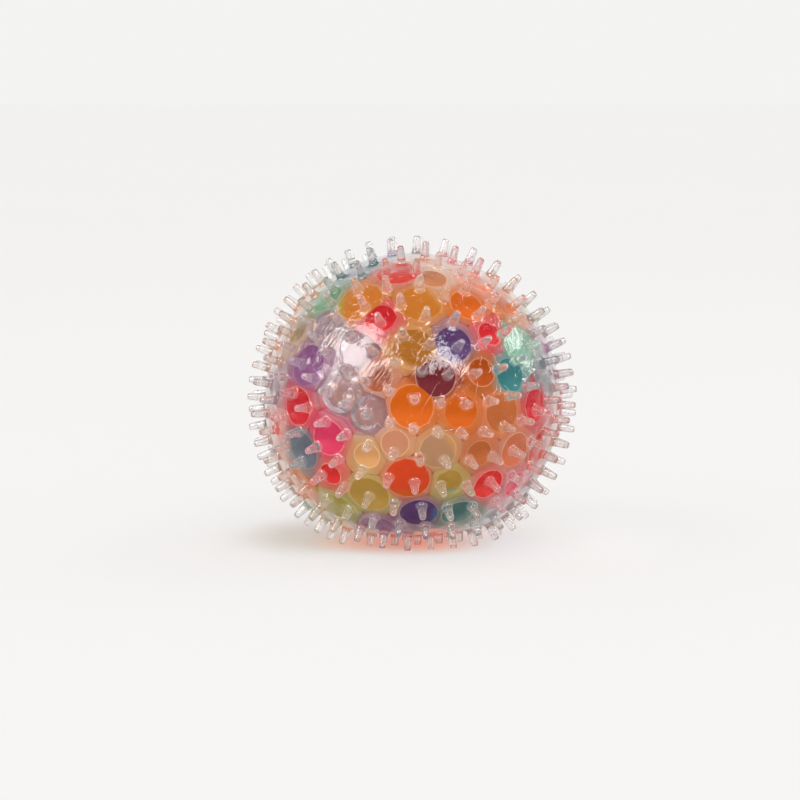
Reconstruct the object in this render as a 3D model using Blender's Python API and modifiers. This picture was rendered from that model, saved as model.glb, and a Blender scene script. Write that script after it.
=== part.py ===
# Clear squeeze ball with short moulded spikes, packed with coloured water beads.
# Metres, +Z up. The ball stands on z = 0, with the middle of its box over the origin,
# and the side that shows in the photograph faces -Y.

import math

import bmesh
import bpy
import numpy as np
from mathutils import Matrix, Vector

MM = 0.001

# Skin
BALL_DIAMETER = 61.4 * MM
SAG = 4.2 * MM  # how far the underside is pressed flat by the ball's weight
FLAT_SHARPNESS = 24  # a higher power turns the underside into the side more sharply
SKIN_THICKNESS = 1.0 * MM
CAVITY_SUBDIVISIONS = 4

# Moulded spikes, in rings round a mould axis that lies tilted in the resting ball.
# The counts and the turns, in degrees, go ring by ring from the equator to the poles.
SPIKE_LENGTH = 3.6 * MM
SPIKE_BASE_DIAMETER = 2.1 * MM
SPIKE_TIP_DIAMETER = 1.3 * MM
SPIKE_SIDES = 4
FOOT_CUT = 1.4 * MM  # the spikes that carry the ball are pressed this much shorter
MOULD_TILT = 32.2  # degrees from upright
MOULD_LEAN = 20.0  # degrees from the front towards +X
SPIKE_COUNTS = (36, 36, 36, 30, 24, 18, 12, 6)
UPPER_TURNS = (2.6, 2.3, 7.9, 5.7, 5.8, 7.5, 27.7, 20.0)
LOWER_TURNS = (7.2, 10.8, 6.1, 11.7, 5.8, 17.5, 12.7, 50.0)

# Stopper in the filling hole, at the mould's lower pole, where there is no spike
STOPPER_HOLE_DIAMETER = 5.0 * MM
STOPPER_OVERHANG = 0.9 * MM  # the head round the hole
STOPPER_HEAD_HEIGHT = 0.8 * MM
STOPPER_EDGE_RADIUS = 0.3 * MM
STOPPER_ROOM = 0.85 * MM  # from the head to the spikes round it
STOPPER_STEPS = 20

# Water beads, pressed together and against the skin
BEAD_DIAMETER = 10.0 * MM
BEAD_BULGE = 1.25  # how far a squeezed bead reaches into the corners between others, in radii
BEAD_SPACING = 9.2 * MM  # between the centres of beads that are not in the photograph
BEAD_PRESS = 1.0 * MM  # how far those beads are flattened by the skin
BEAD_CROWDING = 0.75  # the least share of that spacing at which one more bead goes in
SETTLING_STEPS = 25
BEAD_SEGMENTS = 8
BEAD_RINGS = 5
NECK_DIAMETER = 1.6 * MM  # joins two beads of one rear group
NECK_SIDES = 5
CORE_BEAD_COUNT = 26
CLEARANCE = 0.35 * MM

# Front view of the photograph, in its pixels: each bead's colour, the middle of the disc
# where it touches the skin, and that disc's radius
VIEW_CENTRE = (411, 399)
VIEW_CAVITY_RADIUS = 144
VIEW_ELEVATION = 7  # degrees
SEEN_BEADS = (
    ("orange", 410, 405, 21),
    ("orange", 457, 410, 16),
    ("amber", 497, 411, 17),
    ("orange", 477, 372, 13),
    ("vermilion", 406, 474, 20),
    ("tan", 435, 447, 17),
    ("blush", 394, 440, 13),
    ("yellow", 367, 452, 12),
    ("olive", 369, 490, 18),
    ("lime", 340, 504, 16),
    ("orange", 303, 483, 15),
    ("red", 332, 470, 10),
    ("crimson", 330, 435, 16),
    ("slate", 305, 447, 16),
    ("crimson", 300, 405, 16),
    ("salmon", 277, 420, 11),
    ("mauve", 277, 388, 12),
    ("violet", 310, 365, 18),
    ("clear", 353, 352, 14),
    ("clear", 342, 390, 20),
    ("clear", 367, 411, 16),
    ("copper", 378, 378, 13),
    ("gold", 412, 350, 20),
    ("maroon", 433, 377, 19),
    ("indigo", 450, 345, 17),
    ("orange", 418, 305, 19),
    ("orange", 463, 307, 15),
    ("orange", 502, 308, 11),
    ("amber", 475, 285, 11),
    ("peach", 430, 281, 12),
    ("tan", 425, 263, 9),
    ("red", 397, 275, 17),
    ("gold", 360, 303, 20),
    ("teal", 358, 270, 17),
    ("green", 328, 300, 14),
    ("clear", 325, 328, 12),
    ("olive", 299, 333, 11),
    ("red", 380, 320, 14),
    ("red", 485, 335, 11),
    ("mint", 512, 345, 16),
    ("teal", 505, 375, 15),
    ("slate", 540, 370, 12),
    ("red", 530, 404, 14),
    ("amber", 510, 447, 15),
    ("amber", 475, 450, 12),
    ("coral", 535, 447, 13),
    ("red", 484, 480, 14),
    ("crimson", 510, 480, 11),
    ("olive", 446, 477, 12),
    ("indigo", 417, 508, 16),
    ("teal", 455, 508, 14),
    ("violet", 378, 522, 15),
)

# Groups of the beads that the photograph does not show: where each group lies, and its colour
REAR_SIDES = {
    "left": ((-1, 0, 0), "crimson"),
    "right": ((1, 0, 0), "gold"),
    "top": ((0, 0, 1), "teal"),
    "under": ((0, 0, -1), "orange"),
    "back": ((0, 1, 0), "violet"),
}

COLOURS = {
    "orange": (0.93, 0.50, 0.08),
    "amber": (0.80, 0.47, 0.18),
    "vermilion": (0.88, 0.33, 0.14),
    "tan": (0.74, 0.62, 0.47),
    "blush": (0.80, 0.62, 0.52),
    "yellow": (0.82, 0.70, 0.42),
    "olive": (0.66, 0.60, 0.22),
    "lime": (0.62, 0.66, 0.30),
    "red": (0.84, 0.16, 0.14),
    "crimson": (0.82, 0.14, 0.28),
    "slate": (0.44, 0.50, 0.56),
    "salmon": (0.87, 0.42, 0.35),
    "mauve": (0.66, 0.52, 0.58),
    "violet": (0.50, 0.24, 0.48),
    "clear": (0.82, 0.76, 0.80),
    "copper": (0.70, 0.40, 0.30),
    "gold": (0.80, 0.58, 0.18),
    "maroon": (0.42, 0.10, 0.18),
    "indigo": (0.33, 0.27, 0.48),
    "peach": (0.86, 0.60, 0.42),
    "teal": (0.20, 0.56, 0.56),
    "green": (0.36, 0.58, 0.44),
    "mint": (0.45, 0.78, 0.62),
    "coral": (0.86, 0.36, 0.34),
}
SKIN_COLOUR = (0.90, 0.87, 0.86)
STOPPER_COLOUR = (0.86, 0.83, 0.82)

BALL_RADIUS = BALL_DIAMETER / 2
REST_HEIGHT = BALL_RADIUS - SAG
HOLE_RADIUS = STOPPER_HOLE_DIAMETER / 2
HEAD_RADIUS = HOLE_RADIUS + STOPPER_OVERHANG
POLE_GAP = (HEAD_RADIUS + STOPPER_ROOM + SPIKE_BASE_DIAMETER / 2) / BALL_RADIUS
BEAD_RADIUS = BEAD_DIAMETER / 2
CORE_RADIUS = BALL_RADIUS - SKIN_THICKNESS - 2 * CLEARANCE - BEAD_DIAMETER


def spread(count):
    """Unit directions spread evenly over a sphere."""
    golden = math.pi * (3 - math.sqrt(5))
    heights = [1 - (2 * i + 1) / count for i in range(count)]
    return [
        Vector((math.sqrt(1 - z * z) * math.cos(golden * i), math.sqrt(1 - z * z) * math.sin(golden * i), z))
        for i, z in enumerate(heights)
    ]


def outer_radius(direction):
    """Distance from the centre to the skin's outside: a sphere that sags flat underneath."""
    down = max(-direction.z, 1e-3)
    flat = REST_HEIGHT / down
    power = FLAT_SHARPNESS
    return (BALL_RADIUS ** -power + flat ** -power) ** (-1 / power)


def side_vectors(direction, towards):
    """Two unit vectors square to a direction, the first one along a given axis's parallels."""
    first = towards.cross(direction)
    if first.length < 1e-6:
        first = Vector((1, 0, 0)).cross(direction)
    first.normalize()
    return first, direction.cross(first)


def surface(direction, inset=0.0):
    return direction * (outer_radius(direction) - inset)


def surface_normal(direction):
    step = 1e-3
    first, second = side_vectors(direction, Vector((0, 0, 1)))
    right, left = (surface((direction + first * move).normalized()) for move in (step, -step))
    above, below = (surface((direction + second * move).normalized()) for move in (step, -step))
    return (right - left).cross(above - below).normalized()


def mould_axis():
    tilt, lean = math.radians(MOULD_TILT), math.radians(MOULD_LEAN)
    return Vector((math.sin(tilt) * math.sin(lean), -math.sin(tilt) * math.cos(lean), math.cos(tilt)))


def spike_directions():
    axis = mould_axis()
    first, second = side_vectors(axis, Vector((0, 0, 1)))
    directions = []
    step = (math.pi / 2 - POLE_GAP) / (len(SPIKE_COUNTS) - 0.5)
    for turns, side in ((UPPER_TURNS, 1), (LOWER_TURNS, -1)):
        for ring, (count, turn) in enumerate(zip(SPIKE_COUNTS, turns)):
            latitude = side * (ring + 0.5) * step
            for i in range(count):
                angle = math.radians(turn + 360 * i / count)
                around = first * math.cos(angle) + second * math.sin(angle)
                directions.append(around * math.cos(latitude) + axis * math.sin(latitude))
    return directions


def link(name, mesh, colour, roughness, alpha=1.0, place=None):
    """Make an object with its own material, in the ball's collection and on its frame."""
    material = bpy.data.materials.new(name)
    material.use_nodes = True
    shader = material.node_tree.nodes["Principled BSDF"]
    shader.inputs["Base Color"].default_value = (*[channel ** 2.2 for channel in colour], 1)
    shader.inputs["Roughness"].default_value = roughness
    shader.inputs["Metallic"].default_value = 0.0
    shader.inputs["Alpha"].default_value = alpha
    mesh.materials.append(material)
    part = bpy.data.objects.new(name, mesh)
    parts.objects.link(part)
    part.parent = frame
    if place is not None:
        part.matrix_local = place
    return part


def link_cutter(name, mesh, place=None):
    cutter = bpy.data.objects.new(name, mesh)
    cutters.objects.link(cutter)
    cutter.parent = frame
    if place is not None:
        cutter.matrix_local = place
    cutter.hide_render = True
    cutter.display_type = "WIRE"
    return cutter


def boolean(part, cutter, operation):
    cut = part.modifiers.new(cutter.name, "BOOLEAN")
    cut.operation = operation
    cut.solver = "EXACT"
    cut.object = cutter


def mesh_from(bm, name):
    bm.normal_update()
    bmesh.ops.recalc_face_normals(bm, faces=bm.faces)
    mesh = bpy.data.meshes.new(name)
    bm.to_mesh(mesh)
    bm.free()
    return mesh


def rod_mesh(name, radius, length, sides):
    bm = bmesh.new()
    bmesh.ops.create_cone(bm, cap_ends=True, segments=sides, radius1=radius, radius2=radius, depth=length)
    return mesh_from(bm, name)


def spiked_mesh(directions):
    """The skin's outside: a hull over every spike's foot, with each foot drawn out to a tip."""
    axis = mould_axis()
    spread_angle = SPIKE_BASE_DIAMETER / 2 / BALL_RADIUS
    bm = bmesh.new()
    for direction in directions:
        first, second = side_vectors(direction, axis)
        for side in range(SPIKE_SIDES):
            angle = 2 * math.pi * side / SPIKE_SIDES
            aside = first * math.cos(angle) + second * math.sin(angle)
            bm.verts.new(surface((direction + aside * math.tan(spread_angle)).normalized()))
    bm.verts.index_update()
    owner = {vert: vert.index // SPIKE_SIDES for vert in bm.verts}
    bmesh.ops.convex_hull(bm, input=bm.verts)
    feet = [face for face in bm.faces if len({owner[vert] for vert in face.verts}) == 1]
    feet = bmesh.ops.dissolve_faces(bm, faces=feet)["region"]
    tips = bmesh.ops.extrude_discrete_faces(bm, faces=feet)["faces"]
    taper = SPIKE_TIP_DIAMETER / SPIKE_BASE_DIAMETER
    for tip in tips:
        middle = tip.calc_center_median().normalized()
        direction = max(directions, key=middle.dot)
        root = surface(direction)
        rise = surface_normal(direction)
        for vert in tip.verts:
            aside = vert.co - root
            aside -= rise * aside.dot(rise)
            vert.co = root + rise * SPIKE_LENGTH + aside * taper
    ground = min(vert.co.z for vert in bm.verts) + FOOT_CUT
    for vert in bm.verts:
        vert.co.z = max(vert.co.z, ground)
    return mesh_from(bm, "skin")


def cavity_mesh():
    bm = bmesh.new()
    bmesh.ops.create_icosphere(bm, subdivisions=CAVITY_SUBDIVISIONS, radius=1)
    for vert in bm.verts:
        vert.co = surface(vert.co.normalized(), SKIN_THICKNESS)
    return mesh_from(bm, "cavity")


def stopper_place():
    """Frame of the filling hole: on the skin's outside, with +Z pointing out."""
    direction = -mould_axis()
    turn = surface_normal(direction).to_track_quat("Z", "Y")
    return Matrix.Translation(surface(direction)) @ turn.to_matrix().to_4x4()


def make_skin():
    skin = link("skin", spiked_mesh(spike_directions()), SKIN_COLOUR, 0.15, alpha=0.35)
    boolean(skin, link_cutter("cavity", cavity_mesh()), "DIFFERENCE")
    hole = rod_mesh("filling_hole", HOLE_RADIUS, 8 * SKIN_THICKNESS, STOPPER_STEPS)
    boolean(skin, link_cutter("filling_hole", hole, stopper_place()), "DIFFERENCE")
    skin.data.shade_smooth()
    skin.data.set_sharp_from_angle(angle=math.radians(45))
    return skin


def make_stopper():
    """Glued stopper: a turned plug with a low round head outside and its stem in the hole."""
    head = HEAD_RADIUS
    stem = HOLE_RADIUS - CLEARANCE
    top = CLEARANCE + STOPPER_HEAD_HEIGHT
    edge = STOPPER_EDGE_RADIUS
    profile = [
        (0, top),
        (head - edge, top),
        (head - edge * (1 - math.sqrt(0.5)), top - edge * (1 - math.sqrt(0.5))),
        (head, top - edge),
        (head, CLEARANCE),
        (stem, CLEARANCE),
        (stem, -SKIN_THICKNESS),
        (0, -SKIN_THICKNESS),
    ]
    mesh = bpy.data.meshes.new("stopper")
    edges = [(i, i + 1) for i in range(len(profile) - 1)]
    mesh.from_pydata([(radius, 0, height) for radius, height in profile], edges, [])
    stopper = link("stopper", mesh, STOPPER_COLOUR, 0.3, place=stopper_place())
    turn = stopper.modifiers.new("turn", "SCREW")
    turn.axis = "Z"
    turn.angle = 2 * math.pi
    turn.steps = STOPPER_STEPS
    turn.render_steps = STOPPER_STEPS
    turn.use_merge_vertices = True
    turn.merge_threshold = 0.00001
    turn.use_smooth_shade = True
    return stopper


def bead_limit(direction):
    """How far from the centre a bead may reach, under the faceted inside of the skin."""
    facet = math.cos(math.radians(90 / 2 ** CAVITY_SUBDIVISIONS))
    return (outer_radius(direction) - SKIN_THICKNESS) * facet - CLEARANCE


def seen_centres():
    """Centres of the photographed beads, from the discs where they touch the skin."""
    rise = math.radians(VIEW_ELEVATION)
    upward = Vector((0, math.sin(rise), math.cos(rise)))
    towards = Vector((0, -math.cos(rise), math.sin(rise)))
    centres = []
    for _, column, row, disc in SEEN_BEADS:
        across = (column - VIEW_CENTRE[0]) / VIEW_CAVITY_RADIUS
        height = (VIEW_CENTRE[1] - row) / VIEW_CAVITY_RADIUS
        depth = math.sqrt(max(0.0, 1 - across ** 2 - height ** 2))
        direction = (Vector((1, 0, 0)) * across + upward * height + towards * depth).normalized()
        limit = bead_limit(direction)
        contact = min(limit * disc / VIEW_CAVITY_RADIUS, 0.9 * BEAD_RADIUS)
        sunk = math.sqrt(limit ** 2 - contact ** 2) - math.sqrt(BEAD_RADIUS ** 2 - contact ** 2)
        centres.append(direction * sunk)
    return centres


def rear_centres(taken):
    """Fill what is left of the outer layer, always in the widest gap, then even it out."""
    def place(direction):
        return direction * (bead_limit(direction) - BEAD_RADIUS + BEAD_PRESS)

    choices = [place(direction) for direction in spread(1200)]
    others = np.array([list(centre) for centre in taken])
    added = []
    while True:
        everyone = np.vstack([others] + [np.array([list(centre)]) for centre in added])
        gaps = [np.linalg.norm(everyone - np.array(choice), axis=1).min() for choice in choices]
        widest = int(np.argmax(gaps))
        if gaps[widest] < BEAD_CROWDING * BEAD_SPACING:
            break
        added.append(choices[widest])
    sway, nearby = 0.15, 1.3 * BEAD_SPACING
    for _ in range(SETTLING_STEPS):
        for i, centre in enumerate(added):
            push = Vector((0, 0, 0))
            for other in list(taken) + added:
                apart = centre - other
                if 0 < apart.length < nearby:
                    push += apart.normalized() * (nearby - apart.length)
            added[i] = place((centre + push * sway).normalized())
    return added


def bead_mesh(name, centre, neighbours):
    """A round bead, flattened by the skin, by its neighbours and by the beads under it."""
    outward = centre.normalized()
    planes = []
    for other in neighbours:
        apart = other - centre
        planes.append((apart.normalized(), (apart.length - CLEARANCE) / 2))
    planes.append((-outward, centre.length - CORE_RADIUS - CLEARANCE))
    bm = bmesh.new()
    bmesh.ops.create_uvsphere(bm, u_segments=BEAD_SEGMENTS, v_segments=BEAD_RINGS, radius=1)
    turn = outward.to_track_quat("Z", "Y")
    for vert in bm.verts:
        ray = turn @ vert.co.normalized()
        reach = BEAD_RADIUS * BEAD_BULGE
        for normal, distance in planes:
            slope = ray.dot(normal)
            if slope > 1e-6:
                reach = min(reach, distance / slope)
        low, high = 0.0, reach
        for _ in range(24):
            middle = (low + high) / 2
            point = centre + ray * middle
            if point.length < bead_limit(point.normalized()):
                low = middle
            else:
                high = middle
        vert.co = ray * low
    mesh = mesh_from(bm, name)
    mesh.shade_smooth()
    mesh.set_sharp_from_angle(angle=math.radians(50))
    return mesh


def rear_groups(centres):
    """Share the rear beads among the sides of the ball: each goes with the side it faces most."""
    groups = {side: [] for side in REAR_SIDES}
    for centre in centres:
        nearest = max(REAR_SIDES, key=lambda side: centre.normalized().dot(Vector(REAR_SIDES[side][0])))
        groups[nearest].append(centre)
    return groups


def make_rear_group(name, colour, group, everyone):
    """Beads out of the photograph's sight, joined by short necks into one solid."""
    def mesh_for(label, centre):
        return bead_mesh(label, centre, [other for other in everyone if other is not centre])

    body = link(name, mesh_for(name, group[0]), colour, 0.1, place=Matrix.Translation(group[0]))
    joined, waiting = [group[0]], list(group[1:])
    while waiting:
        pairs = [(start, end) for start in joined for end in waiting]
        start, end = min(pairs, key=lambda pair: (pair[0] - pair[1]).length)
        waiting.remove(end)
        joined.append(end)
        label = f"{name}_{len(joined)}"
        boolean(body, link_cutter(label, mesh_for(label, end), Matrix.Translation(end)), "UNION")
        along = end - start
        turn = along.to_track_quat("Z", "Y").to_matrix().to_4x4()
        place = Matrix.Translation((start + end) / 2) @ turn
        neck = rod_mesh(label, NECK_DIAMETER / 2, along.length - BEAD_RADIUS, NECK_SIDES)
        boolean(body, link_cutter(label + "_neck", neck, place), "UNION")
    return body


def make_inner_beads():
    """The beads under the outer layer, joined into one knobbly ball."""
    knob = CORE_RADIUS - BEAD_RADIUS
    centres = [direction * knob for direction in spread(CORE_BEAD_COUNT)]
    bm = bmesh.new()
    bmesh.ops.create_icosphere(bm, subdivisions=4, radius=1)
    for vert in bm.verts:
        ray = vert.co.normalized()
        reach = knob
        for centre in centres:
            along = ray.dot(centre)
            inside = BEAD_RADIUS ** 2 - centre.length_squared + along ** 2
            if along > 0 and inside > 0:
                reach = max(reach, along + math.sqrt(inside))
        vert.co = ray * reach
    mesh = mesh_from(bm, "inner_beads")
    mesh.shade_smooth()
    return link("inner_beads", mesh, COLOURS["peach"], 0.1)


def make_beads():
    seen = seen_centres()
    rear = rear_centres(seen)
    everyone = seen + rear
    for number, (row, centre) in enumerate(zip(SEEN_BEADS, seen), start=1):
        name = f"bead_{number:02d}_{row[0]}"
        mesh = bead_mesh(name, centre, [other for other in everyone if other is not centre])
        link(name, mesh, COLOURS[row[0]], 0.1, place=Matrix.Translation(centre))
    for side, group in rear_groups(rear).items():
        make_rear_group(f"rear_beads_{side}", COLOURS[REAR_SIDES[side][1]], group, everyone)
    make_inner_beads()


for old in list(bpy.data.objects):
    bpy.data.objects.remove(old)

parts = bpy.data.collections.new("spiky_ball")
cutters = bpy.data.collections.new("cutters")
bpy.context.scene.collection.children.link(parts)
bpy.context.scene.collection.children.link(cutters)
frame = bpy.data.objects.new("ball_centre", None)
parts.objects.link(frame)

skin = make_skin()
make_stopper()
make_beads()

# Stand the ball on z = 0 and centre its box
corners = np.array([list(vert.co) for vert in skin.data.vertices])
low, high = corners.min(axis=0), corners.max(axis=0)
frame.location = (-(low[0] + high[0]) / 2, -(low[1] + high[1]) / 2, -low[2])
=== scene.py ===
# Clear spiky squeeze ball full of coloured water beads, on a pale floor.
# Metres, +Z up. The ball stands on z = 0 with its photographed side towards -Y.

import math
import random

import bmesh
import bpy
import numpy as np
from mathutils import Matrix, Vector
from mathutils.kdtree import KDTree


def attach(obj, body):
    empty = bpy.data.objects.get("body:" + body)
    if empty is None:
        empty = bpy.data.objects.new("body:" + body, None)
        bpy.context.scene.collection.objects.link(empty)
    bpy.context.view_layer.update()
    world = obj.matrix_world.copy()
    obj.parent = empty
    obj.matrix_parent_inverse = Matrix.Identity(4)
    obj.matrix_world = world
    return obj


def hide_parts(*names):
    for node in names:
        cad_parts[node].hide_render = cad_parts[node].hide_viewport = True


mm = 0.001

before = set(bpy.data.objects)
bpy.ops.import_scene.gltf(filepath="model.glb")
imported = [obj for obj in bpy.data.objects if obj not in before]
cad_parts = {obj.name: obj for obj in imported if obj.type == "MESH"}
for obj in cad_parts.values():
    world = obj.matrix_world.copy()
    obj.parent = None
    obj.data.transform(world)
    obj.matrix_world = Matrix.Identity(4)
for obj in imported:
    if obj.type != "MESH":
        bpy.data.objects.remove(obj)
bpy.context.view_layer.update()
print("frame loaded:", len(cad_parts), "nodes")

ball = {
    "centre": Vector((-0.0185 * mm, -0.0020 * mm, 28.6648 * mm)),
    "diameter": 61.4 * mm,
    "sag": 4.2 * mm,  # how far the underside is pressed flat
    "flatSharpness": 24,
    "wall": 1.0 * mm,
    "mouldTilt": 32.2,  # degrees from upright
    "mouldLean": 20.0,  # degrees from the front towards +X
}
ballRadius = ball["diameter"] / 2
restHeight = ballRadius - ball["sag"]


def outerRadius(direction):  # from the ball's centre to the outside of its skin
    flat = restHeight / max(-direction[2], 1e-3)
    power = ball["flatSharpness"]
    return (ballRadius ** -power + flat ** -power) ** (-1 / power)


def onSkin(direction, inset=0.0):
    return direction * (outerRadius(direction) - inset)


def sideVectors(direction, towards=Vector((0, 0, 1))):
    first = towards.cross(direction)
    if first.length < 1e-6:
        first = Vector((1, 0, 0)).cross(direction)
    first.normalize()
    return first, direction.cross(first)


def skinNormal(direction):
    step = 1e-3
    first, second = sideVectors(direction)
    right, left = (onSkin((direction + first * move).normalized()) for move in (step, -step))
    above, below = (onSkin((direction + second * move).normalized()) for move in (step, -step))
    return (right - left).cross(above - below).normalized()


def spread(count):  # unit directions, evenly over a sphere
    golden = math.pi * (3 - math.sqrt(5))
    found = []
    for i in range(count):
        height = 1 - (2 * i + 1) / count
        across = math.sqrt(1 - height * height)
        found.append(Vector((across * math.cos(golden * i), across * math.sin(golden * i), height)))
    return found


def mouldAxis():
    tilt, lean = math.radians(ball["mouldTilt"]), math.radians(ball["mouldLean"])
    return Vector((math.sin(tilt) * math.sin(lean), -math.sin(tilt) * math.cos(lean), math.cos(tilt)))


# Shader values that add up as numbers do

class Value:
    def __init__(self, finish, socket):
        self.finish, self.socket = finish, socket

    def join(self, operation, other, swap=False):
        pair = (other, self) if swap else (self, other)
        return self.finish.node("ShaderNodeMath", {"operation": operation}, pair)

    def __add__(self, other):
        return self.join("ADD", other)

    def __radd__(self, other):
        return self.join("ADD", other, True)

    def __sub__(self, other):
        return self.join("SUBTRACT", other)

    def __rsub__(self, other):
        return self.join("SUBTRACT", other, True)

    def __mul__(self, other):
        return self.join("MULTIPLY", other)

    def __rmul__(self, other):
        return self.join("MULTIPLY", other, True)


class Finish:  # the nodes of a new material, or of a world that is given
    def __init__(self, name, world=None):
        self.owner = world or bpy.data.materials.new(name)
        self.owner.use_nodes = True
        self.tree = self.owner.node_tree
        self.tree.nodes.clear()
        self.output = self.tree.nodes.new("ShaderNodeOutputWorld" if world else "ShaderNodeOutputMaterial")

    def node(self, kind, settings=None, inputs=(), out=0):
        made = self.tree.nodes.new(kind)
        for name, value in (settings or {}).items():
            setattr(made, name, value)
        pairs = inputs.items() if isinstance(inputs, dict) else enumerate(inputs)
        for name, value in pairs:
            socket = made.inputs[name]
            if isinstance(value, Value):
                self.tree.links.new(value.socket, socket)
            elif socket.type == "RGBA":
                socket.default_value = (*value, 1)
            else:
                socket.default_value = value
        return Value(self, made.outputs[out])

    def place(self):
        return self.node("ShaderNodeTexCoord", out="Object")

    def rays(self, kind):
        return self.node("ShaderNodeLightPath", out=kind)

    def attribute(self, name, out="Fac"):
        return self.node("ShaderNodeAttribute", {"attribute_name": name}, out=out)

    def noise(self, where, scale, detail=2.0):
        return self.node("ShaderNodeTexNoise", {}, {"Vector": where, "Scale": scale, "Detail": detail})

    def step(self, value, low, high):  # 0 below low, 1 above high, smooth between
        limits = {"Value": value, "From Min": low, "From Max": high}
        return self.node("ShaderNodeMapRange", {"interpolation_type": "SMOOTHSTEP"}, limits)

    def mix(self, share, first, second, kind="MIX"):
        settings = {"data_type": "RGBA", "blend_type": kind}
        return self.node("ShaderNodeMix", settings, {0: share, 6: first, 7: second}, out=2)

    def along(self, where, way):  # how far a place lies in a direction
        return self.node("ShaderNodeVectorMath", {"operation": "DOT_PRODUCT"}, (where, way), out="Value")

    def grain(self, where, sizes, turn=(0, 0, 0), middle=(0, 0, 0)):  # a place measured in grains of a size
        return self.node("ShaderNodeMapping", {"vector_type": "TEXTURE"},
                         {"Vector": where, "Location": middle, "Rotation": turn, "Scale": sizes})

    def length(self, where):
        return self.node("ShaderNodeVectorMath", {"operation": "LENGTH"}, (where,), out="Value")

    def end(self, shader):
        self.tree.links.new(shader.socket, self.output.inputs["Surface"])
        return self.owner


def linear(colour):  # from a colour as it shows on a screen
    def straight(channel):
        return channel / 12.92 if channel < 0.04 else ((channel + 0.055) / 1.055) ** 2.4

    return tuple(straight(channel) for channel in colour)


# Studio: a pale floor, soft light and the photograph's view

studio = {
    "cameraDistance": 600 * mm,
    "cameraElevation": 7,  # degrees
    "pixelsPerMm": 4.80,
    "ballPixel": (412.2, 400.3),  # where the ball's centre lies in the frame
    "framePixels": 800,
    "floor": (0.76, 0.755, 0.75),
    "floorSize": 9.0,
    "backdrop": 0.90,  # how bright the world and the far floor look
    "floorGlow": 0.46,  # it is lit from below as well
    "floorTones": (0.99, 1.01),  # its faint clouds, as shares of its colour
    "paintedPatchEdge": 0.15,  # the share of a painted light or shadow patch that is at full strength
    "floorBehind": 0.4,  # metres behind the ball at which gloss shows the floor at its full brightness
    "worldBehind": (0.3, 0.95),  # how far towards the back gloss shows the backdrop, from and to
    "paintedLightAndShadow": {
        # painted light and shadow on the floor, a shadow to the left, light that the gel colours in front and
        # lighter to the right: middle and radii (right, away), tint
        "shade": ((-21 * mm, 0), (21 * mm, 30 * mm), (0.80, 0.77, 0.72)),
        "paintedWarmLight": ((-2 * mm, -8 * mm), (24 * mm, 19 * mm), (0.96, 0.55, 0.42)),
        "bright": ((33 * mm, -4 * mm), (30 * mm, 40 * mm), (1.05, 1.06, 1.06)),
    },
    "worldColour": (1.0, 0.995, 0.99),
    "worldLight": 0.80,
    "worldGloss": 0.25,  # how bright they are in reflections
    "lamps": {
        # name: direction from the ball (right, up, towards the camera), size, watts
        "window": ((-0.74, 0.55, 0.38), 0.6, 0.06),
        "frontWindow": ((0.05, -0.03, 1.0), 0.6, 0.44),
        "backWindow": ((0.66, 0.60, -0.45), 0.5, 0.08),
    },
    "lampDistance": 1.2,
    "lampSpread": 60,  # degrees, so that the far floor stays as it is
    "cards": {
        # seen in gloss alone: direction, width, height, strength
        "windowCard": ((-0.66, 0.55, 0.50), 0.74, 0.54, 13.0),
        "sideCard": ((0.40, 0.50, 0.77), 0.28, 0.34, 18.0),
        "lowCard": ((0.86, 0.45, -0.23), 0.22, 0.34, 14.0),
    },
    "cardDistance": 0.6,
    "cardColour": (1, 0.985, 0.97),
    "cardCore": 0.6,  # the share of a card that shines at full strength
}


def viewAxes():
    rise = math.radians(studio["cameraElevation"])
    upward = Vector((0, math.sin(rise), math.cos(rise)))
    towards = Vector((0, -math.cos(rise), math.sin(rise)))
    return Vector((1, 0, 0)), upward, towards


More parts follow.
